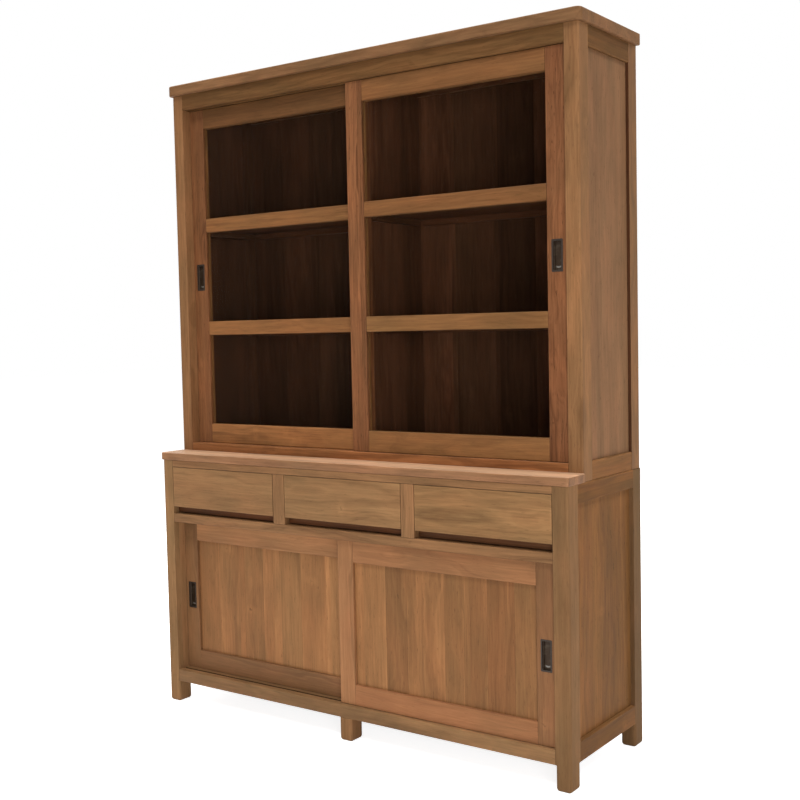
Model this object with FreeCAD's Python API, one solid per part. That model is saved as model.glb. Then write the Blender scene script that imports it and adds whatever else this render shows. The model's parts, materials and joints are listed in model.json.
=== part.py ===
import FreeCAD, Part
import os

# Two-part buffet cabinet in solid timber: a deep base with three drawers and two sliding
# panelled doors, and a shallower hutch with two sliding glazed doors that stands on it.
# Millimetres, +X to the right, +Y to the back, +Z up, and the front faces -Y.
# The origin is on the floor, at the middle of the cabinet's outline.

# Base carcass
base_width = 1580.0
base_depth = 488.0
base_post_width = 48.0
base_post_depth = 60.0
base_post_edge_round = 10.0
foot_round = 9.5
foot_height = 74.0
centre_foot_width = 48.0
sill_height = 42.0
sill_edge_round = 3.0
base_opening_height = 523.0
drawer_rail_height = 30.0
finger_gap = 24.0
drawer_opening_height = 139.0
top_rail_height = 23.0
divider_width = 48.0
base_side_top_rail_height = 54.0
base_side_bottom_rail_height = 57.0
side_rail_thickness = 28.0
base_panel_recess = 14.0
panel_thickness = 12.0
groove_depth = 8.0
base_back_rail_thickness = 36.0
base_back_top_rail_height = 54.0
back_board_inset = 12.0
back_board_count = 10
floor_board_thickness = 18.0
dust_board_thickness = 10.0

# Counter ledge
counter_thickness = 26.0
counter_front_overhang = 4.0
counter_side_overhang = 4.0
counter_corner_round = 8.0
counter_edge_round = 4.0

# Drawers
drawer_names = ("drawer_left", "drawer_middle", "drawer_right")
drawer_front_thickness = 22.0
drawer_box_front_thickness = 12.0
drawer_box_front_clearance = 3.0
finger_rebate_depth = 10.0
finger_rebate_height = 10.0
drawer_side_gap = 1.5
drawer_top_gap = 1.0
drawer_back_clearance = 42.0
drawer_box_height = 110.0
drawer_side_thickness = 14.0
drawer_bottom_thickness = 8.0
drawer_bottom_rise = 6.0
drawer_bottom_groove = 6.0
drawer_box_rise = 4.0
runner_bearing = 30.0
runner_guide_width = 9.0
runner_guide_height = 20.0
running_clearance = 0.3
guide_clearance = 1.0

# Sliding doors and their tracks
track_groove_depth = 6.0
head_groove_depth = 12.0
tongue_play = 1.0
head_tongue_height = 9.0
door_edge_gap = 1.0
door_end_gap = 0.5
track_back_margin = 8.0
base_door_thickness = 30.0
base_door_recess = 13.0
base_door_spacing = 5.0
base_door_overlap = 51.0
base_door_stile_width = 60.0
base_door_top_rail_height = 68.0
base_door_bottom_rail_height = 65.0
base_door_panel_recess = 10.0
base_door_tongue_width = 8.0
left_panel_board_widths = (104.0, 116.0, 130.0, 121.0, 105.0, 87.0)
right_panel_board_widths = (125.0, 79.0, 136.0, 68.0, 80.0, 91.0, 84.0)
hutch_door_thickness = 22.0
hutch_door_recess = 10.0
hutch_door_spacing = 3.0
hutch_door_overlap = 57.0
hutch_door_stile_width = 63.0
hutch_door_top_rail_height = 65.5
hutch_door_bottom_rail_height = 66.0
hutch_door_tongue_width = 6.0
glazing_bar_height = 48.0
glazing_bar_rises = (403.0, 761.5)
glass_recess = 10.0
glass_thickness = 4.0
glass_rebate = 8.0
glass_edge_gap = 1.0

# Flush pulls
pull_width = 36.0
pull_height = 92.0
pull_flange_proud = 0.8
pull_flange_border = 2.0
pull_cup_depth = 11.0
pull_wall = 3.0
pull_corner_round = 3.0
pull_pocket_gap = 0.5
hutch_pull_rise = 582.0
base_pull_rise = 258.0

# Hutch carcass
hutch_side_setback = 2.0
hutch_depth = 382.0
hutch_back_setback = 6.0
hutch_post_width = 46.0
hutch_post_depth = 58.0
hutch_post_edge_round = 5.0
hutch_sill_height = 26.0
hutch_opening_height = 1164.0
frieze_height = 52.0
frieze_edge_round = 6.0
hutch_side_top_rail_height = 59.0
hutch_side_bottom_rail_height = 55.0
hutch_panel_recess = 10.0
hutch_back_rail_thickness = 36.0
hutch_back_top_rail_height = 55.0
hutch_back_bottom_rail_height = 29.0
hutch_floor_thickness = 22.0
hutch_partition_thickness = 26.0
cornice_thickness = 35.0
cornice_front_overhang = 14.0
cornice_side_overhang = 12.0
cornice_corner_round = 18.0
cornice_edge_round = 4.0

# Shelves
shelf_thickness = 22.0
shelf_front_gap = 14.0
shelf_end_gap = 1.0
shelf_cleat_height = 20.0
shelf_cleat_bearing = 20.0
shelf_back_cleat_depth = 18.0
shelf_cleat_setback = 10.0
base_shelf_rise = 250.0

# Heights of the levels, from the floor up
sill_top = foot_height + sill_height
drawer_rail_bottom = sill_top + base_opening_height
drawer_rail_top = drawer_rail_bottom + drawer_rail_height
drawer_front_bottom = drawer_rail_top + finger_gap
top_rail_bottom = drawer_front_bottom + drawer_opening_height
base_top = top_rail_bottom + top_rail_height
counter_top = base_top + counter_thickness
hutch_sill_top = counter_top + hutch_sill_height
frieze_bottom = hutch_sill_top + hutch_opening_height
hutch_top = frieze_bottom + frieze_height
cabinet_top = hutch_top + cornice_thickness

# Front and back planes
base_back = (base_depth + counter_front_overhang) / 2
base_front = base_back - base_depth
hutch_back = base_back - hutch_back_setback
hutch_front = hutch_back - hutch_depth

# Openings between the posts
base_side = base_width / 2
base_inner = base_side - base_post_width
hutch_side = base_side - hutch_side_setback
hutch_inner = hutch_side - hutch_post_width

# Faces of the posts that look into the cabinet
base_front_post_rear = base_front + base_post_depth
base_back_post_front = base_back - base_post_depth
hutch_front_post_rear = hutch_front + hutch_post_depth
hutch_back_post_front = hutch_back - hutch_post_depth

# Side rails and back boards
base_rail_inner = base_side - side_rail_thickness
hutch_rail_inner = hutch_side - side_rail_thickness
base_back_rail_front = base_back - base_back_rail_thickness
base_board_front = base_back_rail_front + back_board_inset
hutch_back_rail_front = hutch_back - hutch_back_rail_thickness
hutch_board_front = hutch_back_rail_front + back_board_inset

parts = {}


def block(x_span, y_span, z_span):
    """Square-edged piece that fills three spans."""
    corner = FreeCAD.Vector(x_span[0], y_span[0], z_span[0])
    length = x_span[1] - x_span[0]
    width = y_span[1] - y_span[0]
    height = z_span[1] - z_span[0]
    return Part.makeBox(length, width, height, corner)


def mirrored(shape):
    """The same piece for the other hand of the cabinet."""
    return shape.mirror(FreeCAD.Vector(0, 0, 0), FreeCAD.Vector(1, 0, 0))


def grouped(solids):
    """Like pieces kept together as separate solids."""
    return Part.makeCompound(solids)


def edges_at(shape, x=None, y=None, z=None):
    """Edges that lie wholly at the given places."""
    chosen = []
    for edge in shape.Edges:
        points = [vertex.Point for vertex in edge.Vertexes]
        at_x = x is None or all(abs(point.x - x) < 1e-6 for point in points)
        at_y = y is None or all(abs(point.y - y) < 1e-6 for point in points)
        at_z = z is None or all(abs(point.z - z) < 1e-6 for point in points)
        if at_x and at_y and at_z:
            chosen.append(edge)
    return chosen


def foot_rounded(post, x_span, y_span):
    """Takes the edges of a post off to a round below the rails, as worn by hand and floor."""
    foot_z = (0.0, foot_height)
    square_foot = block(x_span, y_span, foot_z)
    upright_edges = [edge for x in x_span for y in y_span for edge in edges_at(square_foot, x=x, y=y)]
    foot = square_foot.makeFillet(base_post_edge_round, upright_edges)
    foot = foot.makeFillet(foot_round, edges_at(foot, z=0.0))
    worn_off = square_foot.cut(foot)
    return post.cut(worn_off)


def panel_groove(panel):
    """Room for a panel that is held in the grooves around it."""
    box = panel.BoundBox
    return block((box.XMin, box.XMax), (box.YMin, box.YMax), (box.ZMin, box.ZMax))


def boards_across(x_span, y_span, z_span, count):
    """Equal upright boards set edge to edge."""
    width = (x_span[1] - x_span[0]) / count
    edges = [x_span[0] + width * index for index in range(count + 1)]
    return [block((edges[i], edges[i + 1]), y_span, z_span) for i in range(count)]


def boards_of_widths(x_span, y_span, z_span, widths):
    """Upright boards of uneven width set edge to edge, trimmed alike so that they fill the span."""
    trim = (x_span[1] - x_span[0]) / sum(widths)
    boards = []
    left = x_span[0]
    for width in widths:
        right = left + width * trim
        boards.append(block((left, right), y_span, z_span))
        left = right
    return boards


# Side panels and back boards, which the posts and rails around them are grooved for
base_panel = block(
    (base_side - base_panel_recess - panel_thickness, base_side - base_panel_recess),
    (base_front_post_rear - groove_depth, base_back_post_front + groove_depth),
    (
        foot_height + base_side_bottom_rail_height - groove_depth,
        base_top - base_side_top_rail_height + groove_depth,
    ),
)
hutch_panel = block(
    (hutch_side - hutch_panel_recess - panel_thickness, hutch_side - hutch_panel_recess),
    (hutch_front_post_rear - groove_depth, hutch_back_post_front + groove_depth),
    (
        base_top + hutch_side_bottom_rail_height - groove_depth,
        hutch_top - hutch_side_top_rail_height + groove_depth,
    ),
)
base_boards = boards_across(
    (-base_inner - groove_depth, base_inner + groove_depth),
    (base_board_front, base_board_front + panel_thickness),
    (sill_top - groove_depth, base_top - base_back_top_rail_height + groove_depth),
    back_board_count,
)
hutch_boards = boards_across(
    (-hutch_inner - groove_depth, hutch_inner + groove_depth),
    (hutch_board_front, hutch_board_front + panel_thickness),
    (
        counter_top + hutch_back_bottom_rail_height - groove_depth,
        hutch_top - hutch_back_top_rail_height + groove_depth,
    ),
    back_board_count,
)
base_panel_room = panel_groove(base_panel)
hutch_panel_room = panel_groove(hutch_panel)
base_board_room = panel_groove(grouped(base_boards))
hutch_board_room = panel_groove(grouped(hutch_boards))


def corner_post(x_span, y_span, z_span, outer_y, edge_round, rooms):
    """Right-hand post with its outer edge rounded, grooved for the panels that it holds."""
    post = block(x_span, y_span, z_span)
    post = post.makeFillet(edge_round, edges_at(post, x=x_span[1], y=outer_y))
    for room in rooms:
        post = post.cut(room)
    return post


def add_pair(name, right_piece):
    """Keeps a right-hand piece and its mirror image as two parts."""
    parts[name + "_right"] = right_piece
    parts[name + "_left"] = mirrored(right_piece)


# Base posts, whose lower ends are the feet
base_post_x = (base_inner, base_side)
base_post_z = (0.0, base_top)
front_post_y = (base_front, base_front_post_rear)
back_post_y = (base_back_post_front, base_back)
base_back_rooms = [base_panel_room, base_board_room]
front_post = corner_post(
    base_post_x, front_post_y, base_post_z, base_front, base_post_edge_round, [base_panel_room]
)
back_post = corner_post(
    base_post_x, back_post_y, base_post_z, base_back, base_post_edge_round, base_back_rooms
)
add_pair("base_post_front", foot_rounded(front_post, base_post_x, front_post_y))
add_pair("base_post_back", foot_rounded(back_post, base_post_x, back_post_y))

# Centre feet under the sill and the back rail
centre_foot_x = (-centre_foot_width / 2, centre_foot_width / 2)
centre_foot_z = (0.0, foot_height)
centre_feet = []
for foot_y in (front_post_y, back_post_y):
    foot = block(centre_foot_x, foot_y, centre_foot_z)
    centre_feet.append(foot_rounded(foot, centre_foot_x, foot_y))
parts["base_centre_feet"] = grouped(centre_feet)

# Side frames of the base
base_rail_x = (base_rail_inner, base_side)
base_rail_y = (base_front_post_rear, base_back_post_front)
base_side_rail_levels = (
    (foot_height, foot_height + base_side_bottom_rail_height),
    (base_top - base_side_top_rail_height, base_top),
)
base_side_rails = []
for rail_z in base_side_rail_levels:
    grooved_rail = block(base_rail_x, base_rail_y, rail_z).cut(base_panel_room)
    base_side_rails.append(grooved_rail)
    base_side_rails.append(mirrored(grooved_rail))
parts["base_side_rails"] = grouped(base_side_rails)
parts["base_side_panels"] = grouped([base_panel, mirrored(base_panel)])

# Back of the base
base_back_x = (-base_inner, base_inner)
base_back_rail_y = (base_back_rail_front, base_back)
base_back_bottom_rail = block(base_back_x, base_back_rail_y, (foot_height, sill_top))
base_back_top_rail = block(base_back_x, base_back_rail_y, (base_top - base_back_top_rail_height, base_top))
base_back_middle_rail = block(
    base_back_x, (base_back_post_front, base_board_front), (drawer_rail_bottom, drawer_rail_top)
)
parts["base_back_rails"] = grouped(
    [
        base_back_bottom_rail.cut(base_board_room),
        base_back_middle_rail,
        base_back_top_rail.cut(base_board_room),
    ]
)
parts["base_back_boards"] = grouped(base_boards)


def door_planes(front, recess, thickness, spacing):
    """Front faces of the front-track door and of the rear-track door behind it."""
    front_door = front + recess
    return front_door, front_door + thickness + spacing


def track_grooves(planes, thickness, tongue_width, x_span, z_span):
    """Room for the tongues of both doors, along the whole opening."""
    half = tongue_width / 2 + tongue_play
    middles = [plane + thickness / 2 for plane in planes]
    return [block(x_span, (middle - half, middle + half), z_span) for middle in middles]


def cut_all(shape, cutters):
    """Takes several cutters out of one piece."""
    for cutter in cutters:
        shape = shape.cut(cutter)
    return shape


# Front rails of the base, the two that hold the doors being grooved as tracks
base_front_x = (-base_inner, base_inner)
base_planes = door_planes(base_front, base_door_recess, base_door_thickness, base_door_spacing)
base_track_rear = base_planes[1] + base_door_thickness + track_back_margin
base_track_y = (base_front, base_track_rear)
base_sill = block(base_front_x, base_track_y, (foot_height, sill_top))
base_sill = base_sill.makeFillet(sill_edge_round, edges_at(base_sill, y=base_front, z=sill_top))
parts["base_sill"] = cut_all(
    base_sill,
    track_grooves(
        base_planes,
        base_door_thickness,
        base_door_tongue_width,
        base_front_x,
        (sill_top - track_groove_depth, sill_top),
    ),
)
drawer_rail = block(base_front_x, base_track_y, (drawer_rail_bottom, drawer_rail_top))
parts["base_drawer_rail"] = cut_all(
    drawer_rail,
    track_grooves(
        base_planes,
        base_door_thickness,
        base_door_tongue_width,
        base_front_x,
        (drawer_rail_bottom, drawer_rail_bottom + head_groove_depth),
    ),
)
parts["base_top_rail"] = block(base_front_x, front_post_y, (top_rail_bottom, base_top))

# Uprights between the drawers
drawer_count = len(drawer_names)
drawer_opening_width = (2 * base_inner - (drawer_count - 1) * divider_width) / drawer_count
drawer_pitch = drawer_opening_width + divider_width
dividers = []
for index in range(1, drawer_count):
    divider_left = -base_inner + index * drawer_pitch - divider_width
    divider_x = (divider_left, divider_left + divider_width)
    dividers.append(block(divider_x, front_post_y, (drawer_rail_top, top_rail_bottom)))
parts["base_drawer_dividers"] = grouped(dividers)

# Floor of the base, notched round the back posts
base_floor = block(
    (-base_rail_inner, base_rail_inner),
    (base_track_rear, base_back_rail_front),
    (sill_top - floor_board_thickness, sill_top),
)
base_floor_notch = block(
    (base_inner, base_rail_inner), (base_back_post_front, base_back_rail_front), (foot_height, sill_top)
)
parts["base_floor"] = cut_all(base_floor, [base_floor_notch, mirrored(base_floor_notch)])

# Drawer runners: bearers with a guide strip beside each drawer
drawer_box_bottom = drawer_front_bottom + drawer_box_rise
runner_top = drawer_box_bottom - running_clearance
runner_y = (base_front_post_rear, base_board_front)
runners = []
for index in range(drawer_count + 1):
    guide_left = -base_inner + index * drawer_pitch - divider_width
    guide_right = guide_left + divider_width
    first = index == 0
    last = index == drawer_count
    bearing_left = guide_right if first else guide_left - runner_bearing
    bearing_right = guide_left if last else guide_right + runner_bearing
    ridge_left = guide_right if first else guide_left - runner_guide_width
    ridge_right = guide_left if last else guide_right + runner_guide_width
    bearer = block((bearing_left, bearing_right), runner_y, (drawer_rail_top, runner_top))
    ridge_z = (runner_top, runner_top + runner_guide_height)
    ridge = block((ridge_left, ridge_right), runner_y, ridge_z)
    runners.append(bearer.fuse(ridge).removeSplitter())

# Dust board under the runners, level with the drawer rail and reaching back to the middle back rail
dust_board = block(
    (-base_inner, base_inner),
    (base_track_rear, base_back_post_front),
    (drawer_rail_top - dust_board_thickness, drawer_rail_top),
)
parts["base_drawer_runners"] = grouped([*runners, dust_board])

# Drawers: a face with a rebate for fingers under its lower edge, on a box whose front shows below the face
drawer_box_inset = runner_guide_width + guide_clearance
drawer_front_y = (base_front, base_front + drawer_front_thickness)
drawer_box_front_y = (drawer_front_y[1], drawer_front_y[1] + drawer_box_front_thickness)
drawer_box_y = (drawer_box_front_y[1], base_board_front - drawer_back_clearance)
drawer_box_z = (drawer_box_bottom, drawer_box_bottom + drawer_box_height)
drawer_box_front_z = (drawer_rail_top + drawer_box_front_clearance, drawer_box_z[1])
drawer_bottom_z = (
    drawer_box_bottom + drawer_bottom_rise,
    drawer_box_bottom + drawer_bottom_rise + drawer_bottom_thickness,
)
for index, name in enumerate(drawer_names):
    opening_left = -base_inner + index * drawer_pitch
    opening_right = opening_left + drawer_opening_width
    outer_left = opening_left + drawer_box_inset
    outer_right = opening_right - drawer_box_inset
    inner_left = outer_left + drawer_side_thickness
    inner_right = outer_right - drawer_side_thickness
    bottom = block(
        (inner_left - drawer_bottom_groove, inner_right + drawer_bottom_groove),
        (drawer_box_y[0] - drawer_bottom_groove, drawer_box_y[1]),
        drawer_bottom_z,
    )
    front_x = (opening_left + drawer_side_gap, opening_right - drawer_side_gap)
    front = block(front_x, drawer_front_y, (drawer_front_bottom, top_rail_bottom - drawer_top_gap))
    finger_rebate = block(
        front_x,
        (drawer_front_y[1] - finger_rebate_depth, drawer_front_y[1]),
        (drawer_front_bottom, drawer_front_bottom + finger_rebate_height),
    )
    box_front = block(front_x, drawer_box_front_y, drawer_box_front_z)
    left_side = block((outer_left, inner_left), drawer_box_y, drawer_box_z)
    right_side = block((inner_right, outer_right), drawer_box_y, drawer_box_z)
    back = block(
        (inner_left, inner_right),
        (drawer_box_y[1] - drawer_side_thickness, drawer_box_y[1]),
        (drawer_bottom_z[1], drawer_box_z[1]),
    )
    parts[name + "_front"] = front.cut(finger_rebate)
    parts[name + "_box"] = grouped([box_front.cut(bottom), left_side.cut(bottom), right_side.cut(bottom), back])
    parts[name + "_bottom"] = bottom


def flush_pull(x_middle, z_middle, face):
    """Cup pull let into a stile, with a thin flange on the face, and the pocket that it needs."""
    half_width = pull_width / 2
    half_height = pull_height / 2
    cup_half_width = half_width - pull_flange_border
    cup_half_height = half_height - pull_flange_border
    hollow_half_width = cup_half_width - pull_wall
    hollow_half_height = cup_half_height - pull_wall

    def rounded(half_x, half_z, y_span, radius):
        x_span = (x_middle - half_x, x_middle + half_x)
        z_span = (z_middle - half_z, z_middle + half_z)
        body = block(x_span, y_span, z_span)
        corners = [edge for x in x_span for z in z_span for edge in edges_at(body, x=x, z=z)]
        return body.makeFillet(radius, corners)

    flange_front = face - pull_flange_proud
    flange = rounded(half_width, half_height, (flange_front, face), pull_corner_round)
    cup = rounded(cup_half_width, cup_half_height, (face, face + pull_cup_depth), pull_corner_round)
    hollow_y = (flange_front, face + pull_cup_depth - pull_wall)
    hollow = rounded(hollow_half_width, hollow_half_height, hollow_y, pull_corner_round)
    pocket = block(
        (x_middle - cup_half_width - pull_pocket_gap, x_middle + cup_half_width + pull_pocket_gap),
        (face, face + pull_cup_depth + pull_pocket_gap),
        (z_middle - cup_half_height - pull_pocket_gap, z_middle + cup_half_height + pull_pocket_gap),
    )
    return flange.fuse(cup).cut(hollow).removeSplitter(), pocket


def door_span(hand, inner, overlap):
    """Width of a closed door, the right one overlapping the left one at the middle."""
    if hand == "right":
        return -overlap / 2, inner - door_end_gap
    return -inner + door_end_gap, overlap / 2


def tongued_rail(rail, x_span, plane, thickness, tongue_width, tongue_z):
    """Door rail with the tongue that runs in its track."""
    middle = plane + thickness / 2
    tongue_y = (middle - tongue_width / 2, middle + tongue_width / 2)
    return rail.fuse(block(x_span, tongue_y, tongue_z)).removeSplitter()


# Sliding doors of the base
base_door_z = (sill_top + door_edge_gap, drawer_rail_bottom - door_edge_gap)
base_foot_tongue_z = (sill_top - track_groove_depth + running_clearance, base_door_z[0])
base_head_tongue_z = (base_door_z[1], base_door_z[1] + head_tongue_height)
base_door_sets = (
    ("right", base_planes[0], right_panel_board_widths),
    ("left", base_planes[1], left_panel_board_widths),
)
for hand, plane, board_widths in base_door_sets:
    name = "base_door_" + hand
    door_x = door_span(hand, base_inner, base_door_overlap)
    door_y = (plane, plane + base_door_thickness)
    sight_x = (door_x[0] + base_door_stile_width, door_x[1] - base_door_stile_width)
    sight_z = (base_door_z[0] + base_door_bottom_rail_height, base_door_z[1] - base_door_top_rail_height)
    panel_boards = boards_of_widths(
        (sight_x[0] - groove_depth, sight_x[1] + groove_depth),
        (plane + base_door_panel_recess, plane + base_door_panel_recess + panel_thickness),
        (sight_z[0] - groove_depth, sight_z[1] + groove_depth),
        board_widths,
    )
    panel_room = panel_groove(grouped(panel_boards))
    outer_stile_x = (sight_x[1], door_x[1]) if hand == "right" else (door_x[0], sight_x[0])
    meeting_stile_x = (door_x[0], sight_x[0]) if hand == "right" else (sight_x[1], door_x[1])
    pull_x = (outer_stile_x[0] + outer_stile_x[1]) / 2
    pull, pocket = flush_pull(pull_x, base_door_z[0] + base_pull_rise, plane)
    outer_stile = block(outer_stile_x, door_y, base_door_z).cut(panel_room).cut(pocket)
    meeting_stile = block(meeting_stile_x, door_y, base_door_z).cut(panel_room)
    bottom_rail = block(sight_x, door_y, (base_door_z[0], sight_z[0])).cut(panel_room)
    top_rail = block(sight_x, door_y, (sight_z[1], base_door_z[1])).cut(panel_room)
    tongue = (sight_x, plane, base_door_thickness, base_door_tongue_width)
    parts[name + "_stiles"] = grouped([outer_stile, meeting_stile])
    parts[name + "_rails"] = grouped(
        [
            tongued_rail(bottom_rail, *tongue, base_foot_tongue_z),
            tongued_rail(top_rail, *tongue, base_head_tongue_z),
        ]
    )
    parts[name + "_panel"] = grouped(panel_boards)
    parts[name + "_pull"] = pull


def rounded_board(side, y_span, z_span, corner_round, edge_round):
    """Flat board with rounded front corners, eased along its front and ends but square at the back."""
    board = block((-side, side), y_span, z_span)
    corners = edges_at(board, x=-side, y=y_span[0]) + edges_at(board, x=side, y=y_span[0])
    board = board.makeFillet(corner_round, corners)
    rims = edges_at(board, z=z_span[0]) + edges_at(board, z=z_span[1])
    eased = [edge for edge in rims if edge.CenterOfMass.y < y_span[1] - 1e-6]
    return board.makeFillet(edge_round, eased)


# Counter: a ledge across the whole front, and behind it a board between the hutch's side frames
counter_side = base_side + counter_side_overhang
counter_front = base_front - counter_front_overhang
counter_z = (base_top, counter_top)
ledge = rounded_board(
    counter_side, (counter_front, hutch_front), counter_z, counter_corner_round, counter_edge_round
)
counter_board = block((-hutch_rail_inner, hutch_rail_inner), (hutch_front, base_back), counter_z)
front_notch = block((hutch_inner, hutch_rail_inner), (hutch_front, hutch_front_post_rear), counter_z)
back_notch = block((hutch_inner, hutch_rail_inner), (hutch_back_post_front, base_back), counter_z)
counter_notches = [front_notch, back_notch, mirrored(front_notch), mirrored(back_notch)]
parts["counter"] = ledge.fuse(cut_all(counter_board, counter_notches)).removeSplitter()

# Hutch posts, standing on the base
hutch_post_x = (hutch_inner, hutch_side)
hutch_post_z = (base_top, hutch_top)
hutch_front_post_y = (hutch_front, hutch_front_post_rear)
hutch_back_post_y = (hutch_back_post_front, hutch_back)
hutch_back_rooms = [hutch_panel_room, hutch_board_room]
add_pair(
    "hutch_post_front",
    corner_post(
        hutch_post_x, hutch_front_post_y, hutch_post_z, hutch_front, hutch_post_edge_round, [hutch_panel_room]
    ),
)
add_pair(
    "hutch_post_back",
    corner_post(
        hutch_post_x, hutch_back_post_y, hutch_post_z, hutch_back, hutch_post_edge_round, hutch_back_rooms
    ),
)

# Side frames of the hutch
hutch_rail_x = (hutch_rail_inner, hutch_side)
hutch_rail_y = (hutch_front_post_rear, hutch_back_post_front)
hutch_side_rail_levels = (
    (base_top, base_top + hutch_side_bottom_rail_height),
    (hutch_top - hutch_side_top_rail_height, hutch_top),
)
hutch_side_rails = []
for rail_z in hutch_side_rail_levels:
    grooved_rail = block(hutch_rail_x, hutch_rail_y, rail_z).cut(hutch_panel_room)
    hutch_side_rails.append(grooved_rail)
    hutch_side_rails.append(mirrored(grooved_rail))
parts["hutch_side_rails"] = grouped(hutch_side_rails)
add_pair("hutch_side_panel", hutch_panel)

# Back of the hutch
hutch_across_x = (-hutch_inner, hutch_inner)
hutch_back_rail_y = (hutch_back_rail_front, hutch_back)
hutch_back_rail_levels = (
    (counter_top, counter_top + hutch_back_bottom_rail_height),
    (hutch_top - hutch_back_top_rail_height, hutch_top),
)
hutch_back_rails = []
for rail_z in hutch_back_rail_levels:
    hutch_back_rails.append(block(hutch_across_x, hutch_back_rail_y, rail_z).cut(hutch_board_room))
parts["hutch_back_rails"] = grouped(hutch_back_rails)
parts["hutch_back_boards"] = grouped(hutch_boards)

# Sill and frieze of the hutch, grooved as tracks
hutch_planes = door_planes(hutch_front, hutch_door_recess, hutch_door_thickness, hutch_door_spacing)
hutch_track_rear = hutch_planes[1] + hutch_door_thickness + track_back_margin
hutch_track_y = (hutch_front, hutch_track_rear)
hutch_sill = block(hutch_across_x, hutch_track_y, (counter_top, hutch_sill_top))
hutch_sill = hutch_sill.makeFillet(sill_edge_round, edges_at(hutch_sill, y=hutch_front, z=hutch_sill_top))
parts["hutch_sill"] = cut_all(
    hutch_sill,
    track_grooves(
        hutch_planes,
        hutch_door_thickness,
        hutch_door_tongue_width,
        hutch_across_x,
        (hutch_sill_top - track_groove_depth, hutch_sill_top),
    ),
)
frieze = block(hutch_across_x, hutch_track_y, (frieze_bottom, hutch_top))
frieze = frieze.makeFillet(frieze_edge_round, edges_at(frieze, y=hutch_front, z=frieze_bottom))
parts["hutch_frieze"] = cut_all(
    frieze,
    track_grooves(
        hutch_planes,
        hutch_door_thickness,
        hutch_door_tongue_width,
        hutch_across_x,
        (frieze_bottom, frieze_bottom + head_groove_depth),
    ),
)

# Floor of the hutch, notched round the back posts
hutch_floor_z = (counter_top, counter_top + hutch_floor_thickness)
hutch_floor = block(
    (-hutch_rail_inner, hutch_rail_inner), (hutch_track_rear, hutch_back_rail_front), hutch_floor_z
)
hutch_floor_notch = block(
    (hutch_inner, hutch_rail_inner), (hutch_back_post_front, hutch_back_rail_front), hutch_floor_z
)
parts["hutch_floor"] = cut_all(hutch_floor, [hutch_floor_notch, mirrored(hutch_floor_notch)])

# Cornice board
cornice_side = hutch_side + cornice_side_overhang
cornice_front = hutch_front - cornice_front_overhang
cornice_z = (hutch_top, cabinet_top)
parts["cornice"] = rounded_board(
    cornice_side, (cornice_front, hutch_back), cornice_z, cornice_corner_round, cornice_edge_round
)

# Partition in the middle of the hutch, standing on its floor and notched round the back rails
hutch_shelf_front = hutch_planes[1] + hutch_door_thickness + shelf_front_gap
partition_half = hutch_partition_thickness / 2
partition = block(
    (-partition_half, partition_half), (hutch_shelf_front, hutch_board_front), (hutch_floor_z[1], hutch_top)
)
parts["hutch_partition"] = cut_all(partition, hutch_back_rails)


def shelf_on_cleats(top, x_span, y_span, end_faces, post_front):
    """One shelf, and the cleats that it rests on at both ends and along the back boards."""
    shelf_z = (top - shelf_thickness, top)
    cleat_z = (shelf_z[0] - shelf_cleat_height, shelf_z[0])
    end_cleat_y = (y_span[0] + shelf_cleat_setback, post_front)
    between_cleats = (x_span[0] + shelf_cleat_bearing, x_span[1] - shelf_cleat_bearing)
    cleats = [
        block((end_faces[0], between_cleats[0]), end_cleat_y, cleat_z),
        block((between_cleats[1], end_faces[1]), end_cleat_y, cleat_z),
        block(between_cleats, (y_span[1] - shelf_back_cleat_depth, y_span[1]), cleat_z),
    ]
    shelf = block((x_span[0] + shelf_end_gap, x_span[1] - shelf_end_gap), y_span, shelf_z)
    return shelf, cleats


# Shelves of the hutch, level with the glazing bars on both sides of the partition
hutch_door_z = (hutch_sill_top + door_edge_gap, frieze_bottom - door_edge_gap)
hutch_panel_inner = hutch_side - hutch_panel_recess - panel_thickness
hutch_shelves = []
shelf_cleats = []
for rise in glazing_bar_rises:
    shelf, cleats = shelf_on_cleats(
        hutch_door_z[0] + rise + shelf_thickness / 2,
        (partition_half, hutch_inner),
        (hutch_shelf_front, hutch_board_front),
        (partition_half, hutch_panel_inner),
        hutch_back_post_front,
    )
    hutch_shelves += [shelf, mirrored(shelf)]
    shelf_cleats += cleats + [mirrored(cleat) for cleat in cleats]
parts["hutch_shelves"] = grouped(hutch_shelves)

# Shelf of the base, in one length
base_panel_inner = base_side - base_panel_recess - panel_thickness
base_shelf, base_cleats = shelf_on_cleats(
    sill_top + base_shelf_rise,
    (-base_inner, base_inner),
    (base_planes[1] + base_door_thickness + shelf_front_gap, base_board_front),
    (-base_panel_inner, base_panel_inner),
    base_back_post_front,
)
parts["base_shelf"] = base_shelf
parts["shelf_cleats"] = grouped(shelf_cleats + base_cleats)

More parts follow.
